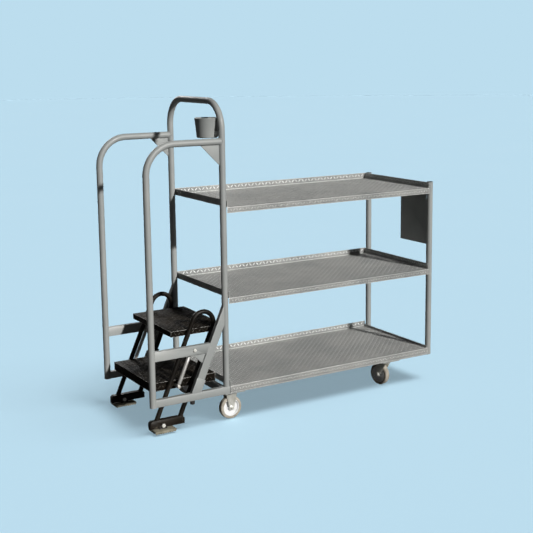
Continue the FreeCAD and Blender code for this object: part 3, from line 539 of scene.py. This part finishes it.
def deck_lugs(node, lo, hi, floor, flange, right_lip):
    """The raised pattern on the tray's upper side, which the folds carry to its flange and lips."""
    edge, rise = 8 * MM, 6 * MM
    long, wide = hi.x - lo.x - edge * 2, hi.y - lo.y - edge * 2
    lip = DECK_LIP - rise
    fields = [
        lug_field(Vector((lo.x + edge, lo.y + edge, floor + SHEET)), X_AXIS, Y_AXIS, long, wide, LUG_PITCH),
        lug_field(Vector((lo.x + edge, lo.y, lo.z)), X_AXIS, Z_AXIS, long, flange, LUG_PITCH),
        lug_field(Vector((lo.x + SHEET, lo.y + edge, floor + rise)), Y_AXIS, Z_AXIS, wide, lip, LUG_PITCH),
    ]
    if right_lip > LUG_PITCH:
        corner = Vector((hi.x - SHEET, hi.y - edge, floor + rise))
        fields.append(lug_field(corner, -Y_AXIS, Z_AXIS, wide, lip, LUG_PITCH))
    # Lugs on the floor, flange and lips, in the lighter copy of the sheet's finish: painted highlight.
    lug_piece(node + "_lugs", fields, "trolley", "tread_plate", LUG_PLATE_PAINTED_HIGHLIGHT)
    # The far lip's lugs are near white: painted reflection.
    corner = Vector((lo.x + edge, hi.y - SHEET, floor + rise))
    far_lip = lug_field(corner, X_AXIS, Z_AXIS, long, lip, LUG_PITCH * 1.3, 1.25)
    lug_piece(node + "_far_lugs", [far_lip], "trolley", "tread_plate", LUG_PAINTED_REFLECTION)


def tread(node):
    """A tread: its CAD shape with rounded folds, and lugs over its top and near skirt."""
    # The tread's coat paints a highlight along its edges.
    soften(node, 1.2 * MM, TREAD_BLACK)
    lo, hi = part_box(node)
    edge, pitch, scale = 8 * MM, 20 * MM, 1.1
    size = hi - lo
    fields = [lug_field(Vector((lo.x + edge, lo.y + edge, hi.z)), X_AXIS, Y_AXIS, size.x - edge * 2,
                        size.y - edge * 2, pitch, scale),
              lug_field(Vector((lo.x + edge, lo.y, lo.z + 2 * MM)), X_AXIS, Z_AXIS, size.x - edge * 2,
                        size.z - edge, pitch, scale)]
    lug_piece(node + "_lugs", fields, "step_unit", "step_black", TREAD_LUGS)


# ---------------------------------------------------------------- welds

def weld(bm, spots, size=BEAD):
    """A weld bead: overlapping round drops along a run of points, larger and smaller by turns."""
    ripple, beat = 0.12, 2.4
    for index, spot in enumerate(spots):
        swell = size * (1 + ripple * math.sin(index * beat))
        bmesh.ops.create_icosphere(bm, subdivisions=2, radius=swell, matrix=Matrix.Translation(spot))


def run(start, end, pitch=3 * MM):
    """Evenly spaced points between two points."""
    start, end = Vector(start), Vector(end)
    count = max(2, int((end - start).length / pitch))
    return [start.lerp(end, step / count) for step in range(count + 1)]


def turns(count):
    """Evenly spaced angles around a circle."""
    return [2 * math.pi * step / count for step in range(count)]


def saddle(post_x, y, height, facing):
    """Points where a level tube along X meets a post of its own size."""
    return [Vector((post_x + facing * math.sqrt(max(TUBE ** 2 - (TUBE * math.cos(a)) ** 2, 0)),
                    y + TUBE * math.cos(a), height + TUBE * math.sin(a))) for a in turns(36)]


def bar_to_post(post_x, y, low_z, high_z, half, facing):
    """Points where a level square bar meets a round post: up both sides and over the top."""
    x = post_x + facing * math.sqrt(TUBE ** 2 - half ** 2)
    spots = []
    for side_y in (y - half, y + half):
        spots += run((x, side_y, low_z), (x, side_y, high_z))
    for step in range(9):
        across = half * (step / 4 - 1)
        spots.append(Vector((post_x + facing * math.sqrt(TUBE ** 2 - across ** 2), y + across, high_z)))
    return spots


def frame_welds():
    """Beads where the handrails, base rails, step bars, gussets and decks meet the posts."""
    bm = bmesh.new()
    half = extent("base_rail_near").y / 2
    for side in SIDES:
        y = SIDE_Y[side]
        rail_z = high("handrail_" + side).z - TUBE
        weld(bm, saddle(LEFT_X, y, rail_z, -1))
        weld(bm, [Vector((LEFT_X + TUBE * math.cos(a), y + TUBE * math.sin(a), BASE_TOP)) for a in turns(36)
                  if abs(TUBE * math.sin(a)) < half])
        weld(bm, bar_to_post(RAIL_X, y, BASE_BOTTOM, BASE_TOP, half, 1))
        weld(bm, bar_to_post(RIGHT_X, y, BASE_BOTTOM, BASE_TOP, half, -1))
        bar = "step_bar_" + side
        weld(bm, bar_to_post(RAIL_X, y, low(bar).z, high(bar).z, half, 1))
        corner = Vector((LEFT_X - TUBE, y, rail_z - TUBE))
        plate, welded = extent("handrail_gussets"), 0.95
        for face in (-2 * MM, 2 * MM):
            start = corner + Y_AXIS * face
            for reach in (X_AXIS * plate.x, Z_AXIS * plate.z):
                weld(bm, run(start, start - reach * welded), FINE_BEAD)
        for node in ("deck_bottom", "deck_middle", "deck_top"):
            floor = high(node).z - DECK_LIP
            for x in (low(node).x, high(node).x):
                weld(bm, run((x, y, floor - 24 * MM), (x, y, floor - 2 * MM)), FINE_BEAD)
    piece("frame_welds", bm, "trolley", "frame_paint", smooth=60)


def step_welds():
    """Rings of weld where the side frames' legs stand on the foot bars."""
    bm = bmesh.new()
    for side in SIDES:
        top = high("foot_bar_" + side).z
        y, radius = middle("side_hoop_" + side).y, extent("side_hoop_" + side).y / 2
        slope = math.tan(LEAN)
        crown_x = high("side_hoop_" + side).x - CROWN_BEND - radius
        crown_z = high("side_hoop_" + side).z - CROWN_BEND - radius
        for sign in (-1, 1):
            x = crown_x + sign * CROWN_BEND / math.cos(LEAN) - (crown_z - top) * slope
            weld(bm, [Vector((x + radius / math.cos(LEAN) * math.cos(a), y + radius * math.sin(a), top))
                      for a in turns(26)], 2 * MM)
    piece("step_welds", bm, "step_unit", "step_black", smooth=60)


# ---------------------------------------------------------------- wheels, cup, caps and pads

def joint_place(name):
    """A joint's place: its own Z axis lies along the joint."""
    joint = next(item for item in frame["record"]["behaviour"]["joints"] if item["name"] == name)
    turn = Vector(joint["axis"]).to_track_quat("Z", "Y").to_matrix().to_4x4()
    return Matrix.Translation(Vector(joint["pos_m"])) @ turn


def tyre(node, place):
    """A tyre with round shoulders and a shallow groove where the halves of its mould met."""
    radius, half, shoulder = WHEEL_RADIUS, WHEEL_HALF, 7 * MM
    groove, deep = 1.5 * MM, 0.7 * MM
    outline = [(TYRE_SEAT, -half)] + fold_arc((radius - shoulder, shoulder - half), shoulder, -90, 0, 6)
    outline += [(radius, -groove), (radius - deep, -deep), (radius - deep, deep), (radius, groove)]
    outline += fold_arc((radius - shoulder, half - shoulder), shoulder, 0, 90, 6) + [(TYRE_SEAT, half)]
    bm = bmesh.new()
    lathe(bm, outline, place, 72)
    piece(node + "_turned", bm, BODY_OF[node], "grey_tyre", [node], 40)


def axle_washers(name, body, places):
    """A domed washer outside each fork leg, under the axle's head and nut."""
    outer, thick = 12 * MM, 1.6 * MM
    outline = [(AXLE_HOLE, FORK_FACE), (outer, FORK_FACE), (outer, FORK_FACE + thick / 2),
               (outer - thick, FORK_FACE + thick), (AXLE_HOLE, FORK_FACE + thick)]
    bm = bmesh.new()
    for place in places:
        for turn in (Matrix(), Matrix.Rotation(math.pi, 4, "X")):
            lathe(bm, outline, place @ turn, 40)
    # Washers in the lighter zinc: painted highlight.
    piece(name, bm, body, "zinc", smooth=40, material=ZINC_PAINTED_GLINT)


def wheels():
    for end in ("left", "right"):
        for side in SIDES:
            tyre("tyre_%s_%s" % (end, side), joint_place("%s_wheel_spin_%s" % (end, side)))
    axle_washers("axle_washers_left", "trolley", [joint_place("left_wheel_spin_" + side) for side in SIDES])
    for side in SIDES:
        place = joint_place("right_wheel_spin_" + side)
        axle_washers("axle_washers_right_" + side, "swivel_" + side, [place])


def cup():
    """A thin tapered cup with a rounded foot and a rolled rim."""
    lo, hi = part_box("cup_holder")
    rim, tall = (hi.x - lo.x) / 2, hi.z - lo.z
    foot, wall, corner, roll = rim * CUP_TAPER, 1.6 * MM, 5 * MM, 2.6 * MM
    outline = [(0, 0)] + fold_arc((foot - corner, corner), corner, -90, 0)
    outline += fold_arc((rim - roll, tall - roll), roll, -40, 200, 12)
    outline += [(foot - wall, corner), (foot - corner, wall), (0, wall)]
    centre = middle("cup_holder")
    bm = bmesh.new()
    lathe(bm, outline, Matrix.Translation((centre.x, centre.y, lo.z)), 72)
    piece("cup_holder_spun", bm, "trolley", "frame_paint", ["cup_holder"], 40)


def post_caps():
    """Low domed caps in the tops of the right posts."""
    bm = bmesh.new()
    bottom, top = low("post_caps").z, high("post_caps").z
    dome = [(TUBE * math.cos(a), (top - bottom) * (0.35 + 0.65 * math.sin(a)))
            for a in [math.pi / 2 * step / 8 for step in range(9)]]
    for side in SIDES:
        lathe(bm, [(0, 0), (TUBE, 0), *dome[:-1], (0, top - bottom)],
              Matrix.Translation((RIGHT_X, SIDE_Y[side], bottom)), 40)
    piece("post_caps_domed", bm, "trolley", "black_plastic", ["post_caps"], 40)


def foot_pad(side):
    """A rubber pad with ribs across its underside, moulded around the edge of the shoe's plate."""
    node = "pad_rubber_" + side
    lo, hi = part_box(node)
    rib, pitch, wide, inset, wrap = 3 * MM, 13 * MM, 9 * MM, 1 * MM, 0.4 * MM
    plate_top = hi.z + SHOE_PLATE
    bm = bmesh.new()
    block(bm, (lo.x - wrap, lo.y - wrap, lo.z + rib), (hi.x + wrap, hi.y + wrap, plate_top + wrap))
    count = int((hi.x - lo.x - wide) / pitch)
    start = (lo.x + hi.x - count * pitch - wide) / 2
    for index in range(count + 1):
        x = start + index * pitch
        block(bm, (x, lo.y + inset, lo.z), (x + wide, hi.y - inset, lo.z + rib))
    mesh = bevelled(mesh_of(node, bm), 0.9 * MM)
    piece_from_mesh(node + "_ribbed", mesh, BODY_OF[node], "pad_rubber", [node], 40)


# ---------------------------------------------------------------- the stage, lights and camera

BACKDROP = (0.503, 0.723, 0.855)
STAGE_RADIUS = 45
FLOOR_RADIUS = STAGE_RADIUS * 0.99
FLOOR_SHADOW, EVEN_FILL = 0.50, 0.05


def staged(name, bm, shader):
    """A floor or backdrop that no other surface mirrors or takes light from."""
    mesh = mesh_of(name, bm)
    mesh.materials.append(shader.material)
    made = bpy.data.objects.new(name, mesh)
    bpy.context.scene.collection.objects.link(made)
    made.visible_diffuse = False
    made.visible_glossy = False
    made.visible_shadow = False
    return made


def stage():
    """A round floor under a dome of the same even colour."""
    s = Shader("floor_pale_blue")
    s.principled.inputs["Specular IOR Level"].default_value = 0.0
    s.finish(s.mix(s.between(s.noise(0.6, 2), 0.3, 0.7, 0, 0.01), BACKDROP, (1, 1, 1)), 1.0, [])
    disc = bmesh.new()
    bmesh.ops.create_circle(disc, cap_ends=True, segments=96, radius=FLOOR_RADIUS)
    floor = staged("floor", disc, s)
    s = Shader("dome_pale_blue")
    s.finish((0, 0, 0, 1), 1.0, [])
    s.principled.inputs["Specular IOR Level"].default_value = 0.0
    s.principled.inputs["Emission Color"].default_value = (*BACKDROP, 1)
    s.principled.inputs["Emission Strength"].default_value = 1.0
    dome = bmesh.new()
    bmesh.ops.create_icosphere(dome, subdivisions=5, radius=STAGE_RADIUS)
    staged("dome", dome, s)
    return floor


def sun(name, towards, strength, softness, floor, on_floor=False, shadows=True, colour=(1, 1, 1)):
    """A sun that lights either the trolley or the floor; strength 1 lights a facing white surface to 1."""
    data = bpy.data.lights.new(name, "SUN")
    data.energy = strength * math.pi
    data.angle = math.radians(softness)
    data.color = colour
    data.use_shadow = shadows
    lamp = bpy.data.objects.new(name, data)
    lamp.rotation_euler = Vector(towards).to_track_quat("-Z", "Y").to_euler()
    bpy.context.scene.collection.objects.link(lamp)
    receivers = bpy.data.collections.new(name + "_receivers")
    receivers.objects.link(floor)
    receivers.collection_objects[0].light_linking.link_state = "INCLUDE" if on_floor else "EXCLUDE"
    lamp.light_linking.receiver_collection = receivers


def lights(floor):
    """A low warm key from the front right, a soft lamp behind, and an even fill; the floor has its own."""
    sun("key", (-0.21, 1.0, -0.453), 1.17, 2.5, floor, colour=(1.0, 0.985, 0.95))
    sun("back", (-0.12, -1.0, -0.40), 0.30, 25.0, floor)
    shade = Vector((-0.25, 0.40, -1.0))
    sun("floor_shade", shade, FLOOR_SHADOW * shade.length, 30.0, floor, on_floor=True)
    even = 1 - FLOOR_SHADOW - EVEN_FILL
    sun("floor_even", (0.0, 0.0, -1.0), even, 10.0, floor, on_floor=True, shadows=False)
    world = bpy.data.worlds.new("even_fill")
    world.use_nodes = True
    background = world.node_tree.nodes["Background"]
    background.inputs["Color"].default_value = (1.0, 1.0, 1.0, 1)
    background.inputs["Strength"].default_value = EVEN_FILL
    bpy.context.scene.world = world
    bpy.context.scene.view_settings.view_transform = "Standard"


def camera():
    data = bpy.data.cameras.new("camera")
    data.sensor_width = 36
    data.lens = 71.455
    data.shift_x, data.shift_y = -0.0355, -0.0621
    shot = bpy.data.objects.new("camera", data)
    right = Vector((0.8494, -0.5277, -0.0095))
    upwards = Vector((0.0958, 0.1365, 0.9860))
    back = -Vector((0.5191, 0.8383, -0.1666))
    turn = Matrix((right, upwards, back)).transposed().to_4x4()
    shot.matrix_world = Matrix.Translation((-3.0465, -5.0688, 1.9335)) @ turn
    bpy.context.scene.collection.objects.link(shot)
    bpy.context.scene.camera = shot


# ---------------------------------------------------------------- the whole trolley

SOFT_EDGES = {
    4 * MM: ["foot_bar_near", "foot_bar_far"],
    1.5 * MM: ["base_rail_near", "base_rail_far", "cross_member_left", "cross_members", "step_bar_near",
               "step_bar_far", "guide_near", "guide_far"],
    0.8 * MM: ["handrail_gussets", "guide_feet", "spring_brackets", "castor_mount_plates", "fixed_forks",
               "swivel_plates", "swivel_fork_near", "swivel_fork_far", "slide_plates", "slide_blocks",
               "pad_shoe_near", "pad_shoe_far", "base_buffers", "spring_cylinder_near",
               "spring_cylinder_far", "cup_strap", "wheel_left_near", "wheel_left_far", "wheel_right_near",
               "wheel_right_far"],
    0.5 * MM: ["castor_bolts", "spring_upper_bolts", "spring_lower_bolts", "pivot_bolts", "fixed_axles",
               "swivel_axle_near", "swivel_axle_far", "lip_screws", "document_holder", "spring_rods"],
}

# Bolts in the lighter zinc: painted highlight on their heads.
GLINT_PAINTED_BOLTS = ("castor_bolts", "pivot_bolts", "spring_upper_bolts")

push_hoop()
for side in SIDES:
    handrail(side)
    right_post(side)
    side_hoop(side)
    foot_pad(side)
for width, nodes in SOFT_EDGES.items():
    for node in nodes:
        soften(node, width, material=ZINC_PAINTED_GLINT if node in GLINT_PAINTED_BOLTS else None)
deck("deck_bottom", LOW_LIP)
deck("deck_middle", DECK_LIP)
deck("deck_top", DECK_LIP)
for node in ("upper_tread", "lower_tread"):
    tread(node)
frame_welds()
step_welds()
wheels()
cup()
post_caps()

lights(stage())
camera()
